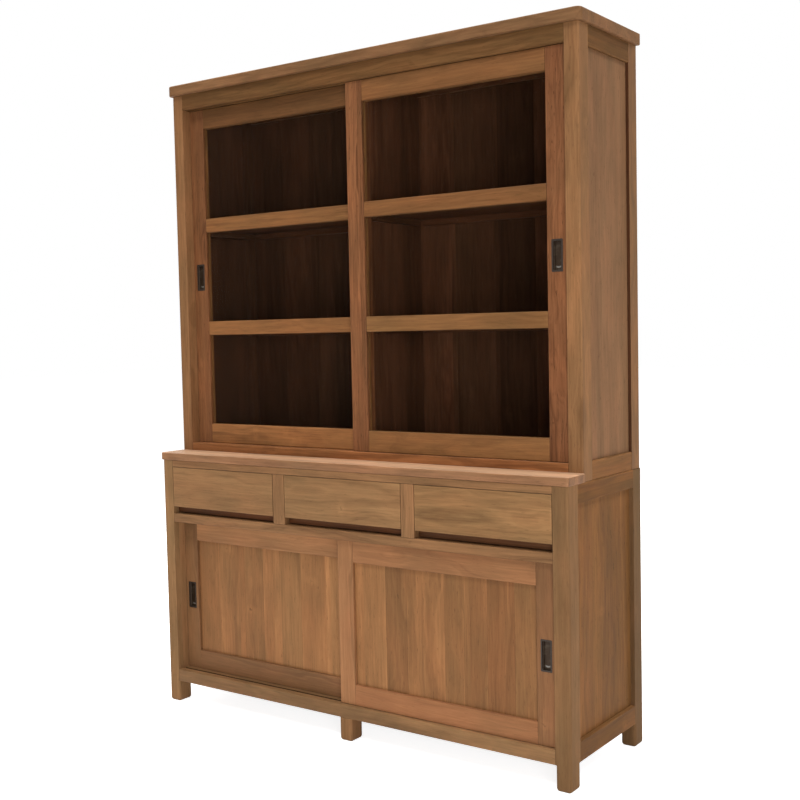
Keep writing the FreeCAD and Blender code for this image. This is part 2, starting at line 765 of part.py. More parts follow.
# Sliding glazed doors of the hutch
hutch_foot_tongue_z = (hutch_sill_top - track_groove_depth + running_clearance, hutch_door_z[0])
hutch_head_tongue_z = (hutch_door_z[1], hutch_door_z[1] + head_tongue_height)
for hand, plane in (("right", hutch_planes[0]), ("left", hutch_planes[1])):
    name = "hutch_door_" + hand
    door_x = door_span(hand, hutch_inner, hutch_door_overlap)
    door_y = (plane, plane + hutch_door_thickness)
    sight_x = (door_x[0] + hutch_door_stile_width, door_x[1] - hutch_door_stile_width)
    sight_bottom = hutch_door_z[0] + hutch_door_bottom_rail_height
    sight_top = hutch_door_z[1] - hutch_door_top_rail_height
    bar_middles = [hutch_door_z[0] + rise for rise in glazing_bar_rises]
    bar_spans = [(middle - glazing_bar_height / 2, middle + glazing_bar_height / 2) for middle in bar_middles]
    pane_bottoms = [sight_bottom] + [span[1] for span in bar_spans]
    pane_tops = [span[0] for span in bar_spans] + [sight_top]
    glass_y = (plane + glass_recess, plane + glass_recess + glass_thickness)
    bead_y = (glass_y[1], door_y[1])
    rebate_x = (sight_x[0] - glass_rebate, sight_x[1] + glass_rebate)
    rebates = []
    panes = []
    beads = []
    for pane_bottom, pane_top in zip(pane_bottoms, pane_tops):
        rebate_z = (pane_bottom - glass_rebate, pane_top + glass_rebate)
        rebates.append(block(rebate_x, (glass_y[0], door_y[1]), rebate_z))
        pane_x = (rebate_x[0] + glass_edge_gap, rebate_x[1] - glass_edge_gap)
        panes.append(block(pane_x, glass_y, (rebate_z[0] + glass_edge_gap, rebate_z[1] - glass_edge_gap)))
        beads.append(block(rebate_x, bead_y, (rebate_z[0], pane_bottom)))
        beads.append(block(rebate_x, bead_y, (pane_top, rebate_z[1])))
        beads.append(block((rebate_x[0], sight_x[0]), bead_y, (pane_bottom, pane_top)))
        beads.append(block((sight_x[1], rebate_x[1]), bead_y, (pane_bottom, pane_top)))
    outer_stile_x = (sight_x[1], door_x[1]) if hand == "right" else (door_x[0], sight_x[0])
    meeting_stile_x = (door_x[0], sight_x[0]) if hand == "right" else (sight_x[1], door_x[1])
    pull_x = (outer_stile_x[0] + outer_stile_x[1]) / 2
    pull, pocket = flush_pull(pull_x, hutch_door_z[0] + hutch_pull_rise, plane)
    outer_stile = cut_all(block(outer_stile_x, door_y, hutch_door_z), rebates).cut(pocket)
    meeting_stile = cut_all(block(meeting_stile_x, door_y, hutch_door_z), rebates)
    bottom_rail = cut_all(block(sight_x, door_y, (hutch_door_z[0], sight_bottom)), rebates)
    top_rail = cut_all(block(sight_x, door_y, (sight_top, hutch_door_z[1])), rebates)
    bars = [cut_all(block(sight_x, door_y, span), rebates) for span in bar_spans]
    tongue = (sight_x, plane, hutch_door_thickness, hutch_door_tongue_width)
    parts[name + "_stiles"] = grouped([outer_stile, meeting_stile])
    parts[name + "_rails"] = grouped(
        [
            tongued_rail(bottom_rail, *tongue, hutch_foot_tongue_z),
            tongued_rail(top_rail, *tongue, hutch_head_tongue_z),
        ]
        + bars
    )
    parts[name + "_glass"] = grouped(panes)
    parts[name + "_beads"] = grouped(beads)
    parts[name + "_pull"] = pull

os.makedirs("parts", exist_ok=True)
for node, shape in parts.items():
    shape.exportStep("parts/" + node + ".step")
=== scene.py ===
import json
import math
import random

import bmesh
import bpy
from mathutils import Matrix, Vector

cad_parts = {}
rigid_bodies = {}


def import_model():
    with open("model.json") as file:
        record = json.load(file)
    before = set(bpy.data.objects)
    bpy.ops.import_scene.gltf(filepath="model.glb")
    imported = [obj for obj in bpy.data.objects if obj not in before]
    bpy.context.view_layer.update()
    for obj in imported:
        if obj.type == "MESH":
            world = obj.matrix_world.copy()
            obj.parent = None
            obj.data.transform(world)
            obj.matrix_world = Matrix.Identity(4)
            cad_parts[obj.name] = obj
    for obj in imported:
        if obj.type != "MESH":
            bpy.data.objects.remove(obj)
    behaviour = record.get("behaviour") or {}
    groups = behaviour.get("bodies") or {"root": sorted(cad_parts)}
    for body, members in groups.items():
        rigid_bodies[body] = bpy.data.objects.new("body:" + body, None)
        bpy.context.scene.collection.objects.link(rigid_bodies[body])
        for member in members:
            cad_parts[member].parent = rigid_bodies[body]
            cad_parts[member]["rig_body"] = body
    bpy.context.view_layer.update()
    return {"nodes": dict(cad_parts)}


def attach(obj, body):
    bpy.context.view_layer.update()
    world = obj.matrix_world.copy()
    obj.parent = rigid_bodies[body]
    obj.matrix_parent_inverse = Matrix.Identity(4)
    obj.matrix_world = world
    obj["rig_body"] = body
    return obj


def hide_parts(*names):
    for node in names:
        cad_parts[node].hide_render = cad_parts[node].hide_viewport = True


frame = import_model()

# Base posts and feet
# Square teak posts run from the floor to the counter, with two short feet between them.
# Each is sawn from one length and planed, with a rounded outer edge and a foot worn round.


def linear(red, green, blue):
    """A colour written as screen values from 0 to 255, as a shader takes it."""
    shares = [value / 255 for value in (red, green, blue)]
    light = [share / 12.92 if share <= 0.04045 else ((share + 0.055) / 1.055) ** 2.4 for share in shares]
    return light + [1.0]


def feed(tree, socket, value):
    """Links a socket to another, or sets it to a plain value."""
    if isinstance(value, bpy.types.NodeSocket):
        tree.links.new(value, socket)
    elif value is not None:
        socket.default_value = value


def maths(tree, operation, first, second=None, third=None, clamp=False):
    """Arithmetic on values that change over a surface."""
    node = tree.nodes.new("ShaderNodeMath")
    node.operation = operation
    node.use_clamp = clamp
    for socket, value in zip(node.inputs, (first, second, third)):
        feed(tree, socket, value)
    return node.outputs["Value"]


def vectors(tree, operation, first, second=None, scale=None):
    """Arithmetic on places and colours."""
    node = tree.nodes.new("ShaderNodeVectorMath")
    node.operation = operation
    feed(tree, node.inputs[0], first)
    feed(tree, node.inputs[1], second)
    if scale is not None:
        feed(tree, node.inputs["Scale"], scale)
    return node.outputs["Value"] if operation == "LENGTH" else node.outputs["Vector"]


def split(tree, vector):
    """The three parts of a place."""
    node = tree.nodes.new("ShaderNodeSeparateXYZ")
    feed(tree, node.inputs["Vector"], vector)
    return node.outputs["X"], node.outputs["Y"], node.outputs["Z"]


def joined(tree, x, y, z):
    """A place from its three parts."""
    node = tree.nodes.new("ShaderNodeCombineXYZ")
    for socket, value in zip(node.inputs, (x, y, z)):
        feed(tree, socket, value)
    return node.outputs["Vector"]


def noise(tree, vector, detail=3.0, roughness=0.55, scale=1.0):
    """Soft cloudy pattern from 0 to 1."""
    node = tree.nodes.new("ShaderNodeTexNoise")
    feed(tree, node.inputs["Vector"], vector)
    feed(tree, node.inputs["Scale"], scale)
    feed(tree, node.inputs["Detail"], detail)
    feed(tree, node.inputs["Roughness"], roughness)
    return node.outputs["Fac"]


def ramp(tree, value, low, high):
    """Smooth step from 0 at low to 1 at high."""
    node = tree.nodes.new("ShaderNodeMapRange")
    node.interpolation_type = "SMOOTHSTEP"
    feed(tree, node.inputs["Value"], value)
    feed(tree, node.inputs["From Min"], low)
    feed(tree, node.inputs["From Max"], high)
    return node.outputs["Result"]


def blend(tree, share, first, second):
    """One colour laid over another."""
    node = tree.nodes.new("ShaderNodeMix")
    node.data_type = "RGBA"
    feed(tree, node.inputs[0], share)
    feed(tree, node.inputs[6], first)
    feed(tree, node.inputs[7], second)
    return node.outputs[2]


def carried(tree, name):
    """A value that the mesh carries."""
    node = tree.nodes.new("ShaderNodeAttribute")
    node.attribute_name = name
    return node


def effect(name, inputs, outputs):
    """Empty shader node group with named sockets, and its two ends."""
    group = bpy.data.node_groups.new(name, "ShaderNodeTree")
    for label, kind in inputs:
        group.interface.new_socket(label, in_out="INPUT", socket_type=kind)
    for label, kind in outputs:
        group.interface.new_socket(label, in_out="OUTPUT", socket_type=kind)
    return group, group.nodes.new("NodeGroupInput").outputs, group.nodes.new("NodeGroupOutput").inputs


# Teak grain: growth rings that wander about a heart line, faint streaks and fine fibre along the board,
# pale lines, short dark pores and flecks, redder and greener patches, now and then a small knot, dirt and
# painted shade along the edges of each board, and edges made paler in places by wear and a painted highlight.
teak_grain, given, made = effect(
    "teak_grain",
    [
        ("Tint", "NodeSocketColor"),
        ("Figure", "NodeSocketFloat"),
        ("Strip Width", "NodeSocketFloat"),
        ("Strip Variation", "NodeSocketFloat"),
        ("Joint Shade", "NodeSocketFloat"),
        ("Edge Wear And Highlight", "NodeSocketFloat"),
        ("Knots", "NodeSocketFloat"),
        ("Flecks", "NodeSocketFloat"),
        ("End Shade", "NodeSocketFloat"),
    ],
    [("Color", "NodeSocketColor"), ("Roughness", "NodeSocketFloat"), ("Height", "NodeSocketFloat")],
)
teak = teak_grain
place = carried(teak, "grain").outputs["Vector"]
reach = carried(teak, "reach").outputs["Vector"]
seed = carried(teak, "seed").outputs["Fac"]
tone = carried(teak, "tone").outputs["Fac"]
ruddy = carried(teak, "ruddy").outputs["Fac"]
along, across, thick = split(teak, place)

# Strips that a wide piece is glued up from, and where in the log each was sawn
strips = teak.nodes.new("ShaderNodeTexVoronoi")
strips.voronoi_dimensions = "1D"
strip_place = maths(teak, "DIVIDE", across, given["Strip Width"])
feed(teak, strips.inputs["W"], maths(teak, "MULTIPLY_ADD", seed, 31.0, strip_place))
feed(teak, strips.inputs["Scale"], 1.0)
feed(teak, strips.inputs["Randomness"], 0.6)
luck_a, luck_b, luck_c = split(teak, strips.outputs["Color"])
log_place = joined(
    teak,
    maths(teak, "MULTIPLY_ADD", luck_a, 4.0, maths(teak, "MULTIPLY", seed, 13.0)),
    maths(teak, "MULTIPLY_ADD", luck_b, 2.0, maths(teak, "MULTIPLY", seed, 7.0)),
    maths(teak, "MULTIPLY", luck_c, 3.0),
)
sawn = vectors(teak, "ADD", place, log_place)

# Rings cut lengthways show as long flames where the heart lies close under the face
bend = maths(teak, "SUBTRACT", noise(teak, vectors(teak, "MULTIPLY", sawn, (2.2, 7.0, 7.0)), 3.0), 0.5)
heart_side = maths(teak, "MULTIPLY_ADD", luck_b, 0.16, -0.08)
heart_depth = maths(teak, "MULTIPLY_ADD", luck_c, 0.07, 0.012)
from_heart = joined(teak, maths(teak, "ADD", across, heart_side), maths(teak, "ADD", thick, heart_depth), 0.0)
ring = maths(teak, "MULTIPLY_ADD", bend, 0.11, vectors(teak, "LENGTH", from_heart))
ring_lines = noise(teak, joined(teak, maths(teak, "MULTIPLY", ring, 75.0), seed, luck_a), 3.0, 0.62)
streaks = noise(teak, vectors(teak, "MULTIPLY", sawn, (3.2, 30.0, 30.0)), 3.0, 0.6)
fibre = noise(teak, vectors(teak, "MULTIPLY", sawn, (7.0, 170.0, 170.0)), 4.0, 0.65)
pale_lines = ramp(teak, noise(teak, vectors(teak, "MULTIPLY", sawn, (5.0, 190.0, 190.0)), 2.0), 0.6, 0.74)
pores = ramp(teak, noise(teak, vectors(teak, "MULTIPLY", sawn, (24.0, 640.0, 640.0)), 2.0), 0.6, 0.74)
flecks = ramp(teak, noise(teak, vectors(teak, "MULTIPLY", sawn, (38.0, 280.0, 280.0)), 3.0, 0.6), 0.6, 0.74)
cloud = noise(teak, vectors(teak, "MULTIPLY", sawn, (1.6, 9.0, 9.0)), 3.0, 0.5)
patches = noise(teak, vectors(teak, "MULTIPLY", sawn, (5.0, 13.0, 13.0)), 3.0, 0.55)

lines = maths(teak, "MULTIPLY_ADD", ring_lines, 0.48, maths(teak, "MULTIPLY", streaks, 0.16))
lines = maths(teak, "MULTIPLY_ADD", fibre, 0.36, lines)
depth = maths(teak, "MULTIPLY", maths(teak, "SUBTRACT", lines, 0.5), given["Figure"])
share = maths(teak, "MULTIPLY_ADD", depth, 3.0, 0.5, clamp=True)
pale_wood = vectors(teak, "MULTIPLY", given["Tint"], (1.42, 1.44, 1.46))
deep_wood = vectors(teak, "MULTIPLY", given["Tint"], (0.62, 0.58, 0.55))
wood = blend(teak, share, pale_wood, deep_wood)
batch = maths(teak, "MULTIPLY_ADD", luck_c, 0.4, maths(teak, "MULTIPLY", ruddy, 0.6))
hue = maths(teak, "MULTIPLY_ADD", maths(teak, "SUBTRACT", patches, 0.5), 1.4, batch, clamp=True)
ruddy_wood = vectors(teak, "MULTIPLY", wood, (1.06, 0.95, 0.91))
olive_wood = vectors(teak, "MULTIPLY", wood, (0.97, 1.02, 1.0))
wood = blend(teak, hue, olive_wood, ruddy_wood)

# Small knots, drawn out across the board, dark at the middle and set in a paler eye
knots = teak.nodes.new("ShaderNodeTexVoronoi")
knots.voronoi_dimensions = "2D"
ragged = noise(teak, vectors(teak, "MULTIPLY", sawn, (60.0, 110.0, 110.0)), 2.0)
knot_wobble = vectors(teak, "SCALE", joined(teak, ragged, fibre, 0.0), scale=0.16)
knot_place = vectors(teak, "ADD", vectors(teak, "MULTIPLY", sawn, (7.5, 4.2, 1.0)), knot_wobble)
feed(teak, knots.inputs["Vector"], knot_place)
feed(teak, knots.inputs["Scale"], 1.0)
knot_luck, knot_dark, knot_size = split(teak, knots.outputs["Color"])
knotty = maths(teak, "LESS_THAN", knot_luck, given["Knots"])
knot_rim = maths(teak, "MULTIPLY_ADD", knot_size, 0.03, 0.018)
knot = maths(teak, "SUBTRACT", 1.0, ramp(teak, knots.outputs["Distance"], 0.004, knot_rim))
knot = maths(teak, "MULTIPLY", knot, maths(teak, "MULTIPLY_ADD", knot_dark, 0.7, 0.3))
eye = maths(teak, "SUBTRACT", 1.0, ramp(teak, knots.outputs["Distance"], 0.04, 0.16))

# How far a point lies in from the nearest edge of its board, and from the board's ends
inset = vectors(teak, "SUBTRACT", reach, vectors(teak, "ABSOLUTE", place))
inset_along, inset_across, inset_thick = split(teak, inset)
knotty = maths(teak, "MULTIPLY", knotty, ramp(teak, inset_across, 0.003, 0.012))
knot = maths(teak, "MULTIPLY", knot, knotty)
eye = maths(teak, "MULTIPLY", eye, knotty)
lower = maths(teak, "MINIMUM", inset_along, inset_across)
upper = maths(teak, "MAXIMUM", inset_along, inset_across)
edge_inset = maths(teak, "MAXIMUM", lower, maths(teak, "MINIMUM", upper, inset_thick))
# Darker within a few millimetres of each board's edges: dirt and painted shade for the shadow in the joints.
joint_line = maths(teak, "SUBTRACT", 1.0, ramp(teak, edge_inset, 0.0004, 0.0026))
joint_dirt_and_shade = maths(teak, "SUBTRACT", 1.0, maths(teak, "MULTIPLY", joint_line, given["Joint Shade"]))
end_grain = maths(teak, "SUBTRACT", 1.0, ramp(teak, inset_along, 0.0002, 0.0009))
# Paler edges in patches: partly wear, partly a painted highlight for light caught on the arrises.
edge_patches = ramp(teak, noise(teak, vectors(teak, "MULTIPLY", sawn, (7.0, 24.0, 24.0)), 2.0), 0.4, 0.6)
near_edge = maths(teak, "SUBTRACT", 1.0, ramp(teak, edge_inset, 0.0012, 0.0055))
wear_and_highlight = maths(teak, "MULTIPLY", maths(teak, "MULTIPLY", near_edge, edge_patches), given["Edge Wear And Highlight"])

strip_tone = maths(teak, "MULTIPLY_ADD", maths(teak, "SUBTRACT", luck_a, 0.5), given["Strip Variation"], 1.0)
shade = maths(teak, "MULTIPLY", strip_tone, tone)
shade = maths(teak, "MULTIPLY", shade, maths(teak, "MULTIPLY_ADD", cloud, 0.7, 0.65))
shade = maths(teak, "MULTIPLY", shade, maths(teak, "MULTIPLY_ADD", patches, 0.5, 0.75))
shade = maths(teak, "MULTIPLY", shade, maths(teak, "MULTIPLY_ADD", pale_lines, 0.16, 1.0))
fleck_dark = maths(teak, "MULTIPLY", flecks, given["Flecks"])
shade = maths(teak, "MULTIPLY", shade, maths(teak, "SUBTRACT", 1.0, fleck_dark))
shade = maths(teak, "MULTIPLY", shade, maths(teak, "MULTIPLY_ADD", pores, -0.16, 1.0))
shade = maths(teak, "MULTIPLY", shade, maths(teak, "MULTIPLY_ADD", eye, 0.14, 1.0))
shade = maths(teak, "MULTIPLY", shade, maths(teak, "MULTIPLY_ADD", knot, -0.55, 1.0))
shade = maths(teak, "MULTIPLY", shade, maths(teak, "MULTIPLY_ADD", wear_and_highlight, 0.3, 1.0))
shade = maths(teak, "MULTIPLY", shade, joint_dirt_and_shade)
end_dark = maths(teak, "MULTIPLY", end_grain, given["End Shade"])
shade = maths(teak, "MULTIPLY", shade, maths(teak, "SUBTRACT", 1.0, end_dark))
feed(teak, made["Color"], vectors(teak, "SCALE", wood, scale=shade))
feed(teak, made["Roughness"], maths(teak, "MULTIPLY_ADD", maths(teak, "SUBTRACT", 0.5, share), 0.2, 0.5))
relief = maths(teak, "MULTIPLY_ADD", pores, -0.7, fibre)
feed(teak, made["Height"], maths(teak, "MULTIPLY_ADD", ring_lines, 0.4, relief))


def oiled_teak(
    name,
    tint,
    figure=1.0,
    strip_width=0.3,
    strip_variation=0.12,
    joint_shade=0.25,
    edge_wear_and_highlight=0.6,
    knots=0.2,
    flecks=0.3,
    end_shade=0.18,
    sheen=0.1,
):
    """Oiled teak from one batch of timber, glued up from strips where a piece is wide."""
    material = bpy.data.materials.new(name)
    material.use_nodes = True
    tree = material.node_tree
    surface = tree.nodes["Principled BSDF"]
    grain = tree.nodes.new("ShaderNodeGroup")
    grain.node_tree = teak_grain
    grain.inputs["Tint"].default_value = linear(*tint)
    grain.inputs["Figure"].default_value = figure
    grain.inputs["Strip Width"].default_value = strip_width
    grain.inputs["Strip Variation"].default_value = strip_variation
    grain.inputs["Joint Shade"].default_value = joint_shade
    grain.inputs["Edge Wear And Highlight"].default_value = edge_wear_and_highlight
    grain.inputs["Knots"].default_value = knots
    grain.inputs["Flecks"].default_value = flecks
    grain.inputs["End Shade"].default_value = end_shade
    bump = tree.nodes.new("ShaderNodeBump")
    bump.inputs["Strength"].default_value = 0.2
    bump.inputs["Distance"].default_value = 0.0006
    tree.links.new(grain.outputs["Height"], bump.inputs["Height"])
    tree.links.new(grain.outputs["Color"], surface.inputs["Base Color"])
    tree.links.new(grain.outputs["Roughness"], surface.inputs["Roughness"])
    tree.links.new(bump.outputs["Normal"], surface.inputs["Normal"])
    surface.inputs["Specular IOR Level"].default_value = sheen
    return material


sharp_angle = math.radians(40)
flat_angle = math.radians(0.5)
level_tolerance = 1e-5
groove_depth = 0.001
groove_reach = 0.008
faces_that_way = 0.7


def boards_of(node):
    """The faces of each separate board of a node: a board ends where its skin closes."""
    skin = frame["nodes"][node].data
    boards = [[]]
    open_edges = set()
    for polygon in skin.polygons:
        if boards[-1] and not open_edges:
            boards.append([])
        corners = [tuple(round(value, 6) for value in skin.vertices[index].co) for index in polygon.vertices]
        boards[-1].append(corners)
        for edge in zip(corners, corners[1:] + corners[:1]):
            if edge[::-1] in open_edges:
                open_edges.remove(edge[::-1])
            else:
                open_edges.add(edge)
    return boards


def islands(mesh):
    """The separate boards of a mesh, as lists of vertices, from left to right and bottom to top."""
    waiting = set(mesh.verts)
    found = []
    while waiting:
        front = [waiting.pop()]
        board = []
        while front:
            vertex = front.pop()
            board.append(vertex)
            for edge in vertex.link_edges:
                other = edge.other_vert(vertex)
                if other in waiting:
                    waiting.remove(other)
                    front.append(other)
        found.append(board)

    def low_corner(board):
        return tuple(round(min(vertex.co[axis] for vertex in board), 4) for axis in (0, 2, 1))

    return sorted(found, key=low_corner)


def fitted(
    node,
    ending,
    material,
    easing=0.0012,
    tones=None,
    hues=None,
    tone_spread=0.05,
    shading_teak=None,
    shading_ways=(),
    scoop=0,
):
    """The piece that stands for a node: its boards with eased edges, each with grain of its own.

    Faces that look into the cabinet from its back or its sides, or up, or that lie in a door groove, can
    take a second teak, used for painted shade inside and in the grooves and for painted light on upward
    faces, and the ends of a recess can be scooped out.
    """
    mesh = bmesh.new()
    for faces in boards_of(node):
        board = {corner: mesh.verts.new(corner) for corners in faces for corner in corners}
        for corners in faces:
            mesh.faces.new([board[corner] for corner in corners])
    mesh.normal_update()
    bmesh.ops.dissolve_limit(mesh, angle_limit=flat_angle, verts=mesh.verts, edges=mesh.edges)
    sharp = [e for e in mesh.edges if len(e.link_faces) == 2 and e.calc_face_angle() > sharp_angle]
    level = [e for e in sharp if abs(e.verts[0].co.z - e.verts[1].co.z) < level_tolerance]
    inner = [e for e in level if not e.is_convex]
    if scoop:
        bmesh.ops.bevel(
            mesh, geom=inner, offset=scoop, segments=5, profile=0.5, affect="EDGES", clamp_overlap=True
        )
    corners = [e for e in sharp if e.is_valid and e.is_convex]
    bmesh.ops.bevel(
        mesh, geom=corners, offset=easing, segments=2, profile=0.5, affect="EDGES", clamp_overlap=True
    )
    loose = [vertex for vertex in mesh.verts if not vertex.link_faces]
    bmesh.ops.delete(mesh, geom=loose, context="VERTS")
    grain = mesh.verts.layers.float_vector.new("grain")
    reach_layer = mesh.verts.layers.float_vector.new("reach")
    seed_layer = mesh.verts.layers.float.new("seed")
    tone_layer = mesh.verts.layers.float.new("tone")
    ruddy_layer = mesh.verts.layers.float.new("ruddy")
    luck = random.Random(node)
    for index, board in enumerate(islands(mesh)):
        low = [min(vertex.co[axis] for vertex in board) for axis in range(3)]
        high = [max(vertex.co[axis] for vertex in board) for axis in range(3)]
        order = sorted(range(3), key=lambda axis: low[axis] - high[axis])
        board_seed = luck.random()
        board_tone = 1 + tone_spread * (2 * luck.random() - 1)
        board_ruddy = luck.random()
        if tones:
            board_tone = tones[index % len(tones)]
        if hues:
            board_ruddy = hues[index % len(hues)]
        for vertex in board:
            vertex[grain] = [vertex.co[axis] - (low[axis] + high[axis]) / 2 for axis in order]
            vertex[reach_layer] = [(high[axis] - low[axis]) / 2 for axis in order]
            vertex[seed_layer] = board_seed
            vertex[tone_layer] = board_tone
            vertex[ruddy_layer] = board_ruddy
    for face in mesh.faces:
        face.smooth = True
    piece = bpy.data.objects.new(node + ending, bpy.data.meshes.new(node + ending))
    mesh.to_mesh(piece.data)
    mesh.free()
    piece.data.materials.append(material)
    if shading_teak:
        piece.data.materials.append(shading_teak)
        top = max(vertex.co.z for vertex in piece.data.vertices)
        front = min(vertex.co.y for vertex in piece.data.vertices)
        back = max(vertex.co.y for vertex in piece.data.vertices)
        for face in piece.data.polygons:
            sunk = groove_depth < top - face.center.z < groove_reach
            looks = {
                "forward": -face.normal.y,
                "inward": -face.normal.x * math.copysign(1, face.center.x),
                "up": face.normal.z,
                "grooved": float(sunk and front + groove_reach < face.center.y < back - groove_reach),
            }
            face.material_index = int(any(looks[way] > faces_that_way for way in shading_ways))
    bpy.context.scene.collection.objects.link(piece)
    even = piece.modifiers.new("even_shading", "WEIGHTED_NORMAL")
    even.keep_sharp = True
    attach(piece, frame["nodes"][node]["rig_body"])
    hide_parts(node)
    return piece


base_post_teak = oiled_teak("base_post_teak", (131, 99, 68), figure=0.6, sheen=0.02)
base_post_tones = (("front_left", 1.13), ("front_right", 0.94), ("back_left", 0.68), ("back_right", 0.68))
for corner, post_tone in base_post_tones:
    fitted("base_post_" + corner, "_timber", base_post_teak, tones=(post_tone,))
fitted("base_centre_feet", "_timber", base_post_teak)

# Front rails of the base
# The sill and the drawer rail carry the sliding doors in sawn grooves; the top rail and two short
# uprights frame the drawers. All are tenoned between the posts and planed flush with them.
base_rail_teak = oiled_teak("base_rail_teak", (131, 97, 65))
base_rail_tones = (
    ("base_sill", 0.88),
    ("base_drawer_rail", 0.94),
    ("base_top_rail", 1.05),
    ("base_drawer_dividers", 0.92),
)
# The faces in the sill's door grooves take a dark teak, painted shade for the shadow in the grooves.
groove_painted_shade_teak = oiled_teak("groove_painted_shade_teak", (64, 43, 27), sheen=0.02)
for rail, rail_tone in base_rail_tones:
    shading_teak = groove_painted_shade_teak if rail == "base_sill" else None
    fitted(rail, "_timber", base_rail_teak, tones=(rail_tone,), shading_teak=shading_teak, shading_ways=("grooved",))

# Sides of the base
# Each side is a frame of two rails between the posts, round a thin panel of glued-up boards
# that floats in grooves. The rails' upward faces take a paler teak and their edges a strong pale band,
# painted light from above.
base_side_teak = oiled_teak("base_side_teak", (120, 83, 49), strip_width=0.13, flecks=0.65, sheen=0.03)
base_side_rail_teak = oiled_teak(
    "base_side_rail_teak", (113, 78, 45), figure=0.8, joint_shade=0.08, edge_wear_and_highlight=1.4, sheen=0.03
)
# Paler teak for the rails' upward faces: painted light from above.
ledge_painted_light_teak = oiled_teak("ledge_painted_light_teak", (158, 116, 74), figure=0.8, joint_shade=0.0, sheen=0.03)
fitted(
    "base_side_rails",
    "_timber",
    base_side_rail_teak,
    easing=0.002,
    tones=(1.03, 0.87),
    shading_teak=ledge_painted_light_teak,
    shading_ways=("up",),
)
fitted("base_side_panels", "_timber", base_side_teak, easing=0.0006)

# Back of the base
# Three rails hold upright boards in grooves; this side stands to the wall and is left plainer.
back_teak = oiled_teak("back_teak", (112, 78, 50), strip_width=0.2, strip_variation=0.2)
# Faces that look into the cabinet take a darker teak, painted shade for the dim inside.
inside_painted_shade_teak = oiled_teak("inside_painted_shade_teak", (84, 55, 37), strip_width=0.14, strip_variation=0.2, sheen=0.03)
fitted("base_back_rails", "_timber", back_teak, shading_teak=inside_painted_shade_teak, shading_ways=("forward",))
fitted("base_back_boards", "_timber", back_teak, tone_spread=0.2, shading_teak=inside_painted_shade_teak, shading_ways=("forward",))

# Inside of the base
# Floor, shelf, drawer runners and the dust board over the doors, in darker teak, painted shade for the dim
# inside.
for board in ("base_floor", "base_shelf", "base_drawer_runners", "shelf_cleats"):
    fitted(board, "_timber", inside_painted_shade_teak)

# Counter
# A thick board that shows as a ledge in front of the hutch, with softly rounded corners and edges.
counter_teak = oiled_teak("counter_teak", (144, 104, 74), strip_width=0.12)
# The upward face takes a paler teak, painted light for the bright sheen on the ledge.
counter_top_painted_light_teak = oiled_teak("counter_top_painted_light_teak", (175, 137, 108), strip_width=0.12)
fitted("counter", "_timber", counter_teak, easing=0.0008, shading_teak=counter_top_painted_light_teak, shading_ways=("up",))

# Drawers
# Plain faces of one board with lying grain, on boxes of thinner teak with a grooved-in bottom. The
# box's own front shows in the finger gap below the face, in a dark teak that paints the shade in the gap.
calm_drawer_teak = oiled_teak(
    "calm_drawer_teak", (139, 106, 71), figure=0.8, strip_width=0.4, knots=0.35
)
lively_drawer_teak = oiled_teak(
    "lively_drawer_teak", (134, 102, 67), figure=0.9, strip_width=0.4, knots=0.35
)
drawer_box_teak = oiled_teak("drawer_box_teak", (90, 56, 33), strip_width=0.4)
drawer_woods = (("left", calm_drawer_teak), ("middle", calm_drawer_teak), ("right", lively_drawer_teak))
for bay, drawer_wood in drawer_woods:
    fitted("drawer_" + bay + "_front", "_timber", drawer_wood, tone_spread=0)
    fitted("drawer_" + bay + "_box", "_timber", drawer_box_teak)
    fitted("drawer_" + bay + "_bottom", "_timber", inside_painted_shade_teak)

# Sliding doors of the base
# Stiles and rails round a flush panel of upright boards of uneven width, picked without matching
# their colour; the rails' tongues run in the grooves of the sill and the drawer rail.
base_door_teak = oiled_teak("base_door_teak", (141, 100, 67), figure=0.65, knots=0.3, flecks=0.2)
base_panel_teak = oiled_teak(
    "base_panel_teak", (144, 102, 65), figure=0.65, joint_shade=0.12, knots=0.4, flecks=0.4
)
door_stile_tones = {"left": (0.76, 1.0), "right": (1.14, 0.79)}
# The left door's top rail is lightened, painted light against the shadow the drawer rail casts on it.
door_rail_tones = {"left": (0.76, 1.34), "right": (0.91, 1.05)}
panel_tones = {
    "left": (0.92, 0.93, 0.94, 0.98, 1.02, 1.21),
    "right": (1.0, 0.75, 0.94, 0.84, 0.83, 0.79, 0.75),
}
panel_hues = {"left": (0.5, 0.7, 0.5, 0.3, 0.5, 0.3), "right": (0.5, 0.6, 0.6, 0.2, 0.9, 0.9, 0.0)}
for hand in ("left", "right"):
    fitted("base_door_" + hand + "_stiles", "_timber", base_door_teak, tones=door_stile_tones[hand])
    fitted("base_door_" + hand + "_rails", "_timber", base_door_teak, tones=door_rail_tones[hand])
    fitted(
        "base_door_" + hand + "_panel",
        "_timber",
        base_panel_teak,
        easing=0.0004,
        tones=panel_tones[hand],
        hues=panel_hues[hand],
    )

# Frame of the hutch
# Four posts stand straight on the base; the sill and the frieze between them hold the door grooves.
hutch_post_teak = oiled_teak("hutch_post_teak", (125, 92, 61), sheen=0.06)
for hand in ("left", "right"):
    fitted("hutch_post_front_" + hand, "_timber", hutch_post_teak)
    # The back posts' faces that look forward or inward take the darker inside teak, painted shade.
    fitted(
        "hutch_post_back_" + hand, "_timber", hutch_post_teak, shading_teak=inside_painted_shade_teak, shading_ways=("forward", "inward")
    )
hutch_rail_teak = oiled_teak("hutch_rail_teak", (136, 89, 54))
# Its groove faces take the dark groove teak, painted shade.
fitted("hutch_sill", "_timber", hutch_rail_teak, shading_teak=groove_painted_shade_teak, shading_ways=("grooved",))
# The frieze's darker teak partly paints the shade under the cornice.
hutch_frieze_shaded_teak = oiled_teak("hutch_frieze_shaded_teak", (100, 72, 43), sheen=0.06)
fitted("hutch_frieze", "_timber", hutch_frieze_shaded_teak)

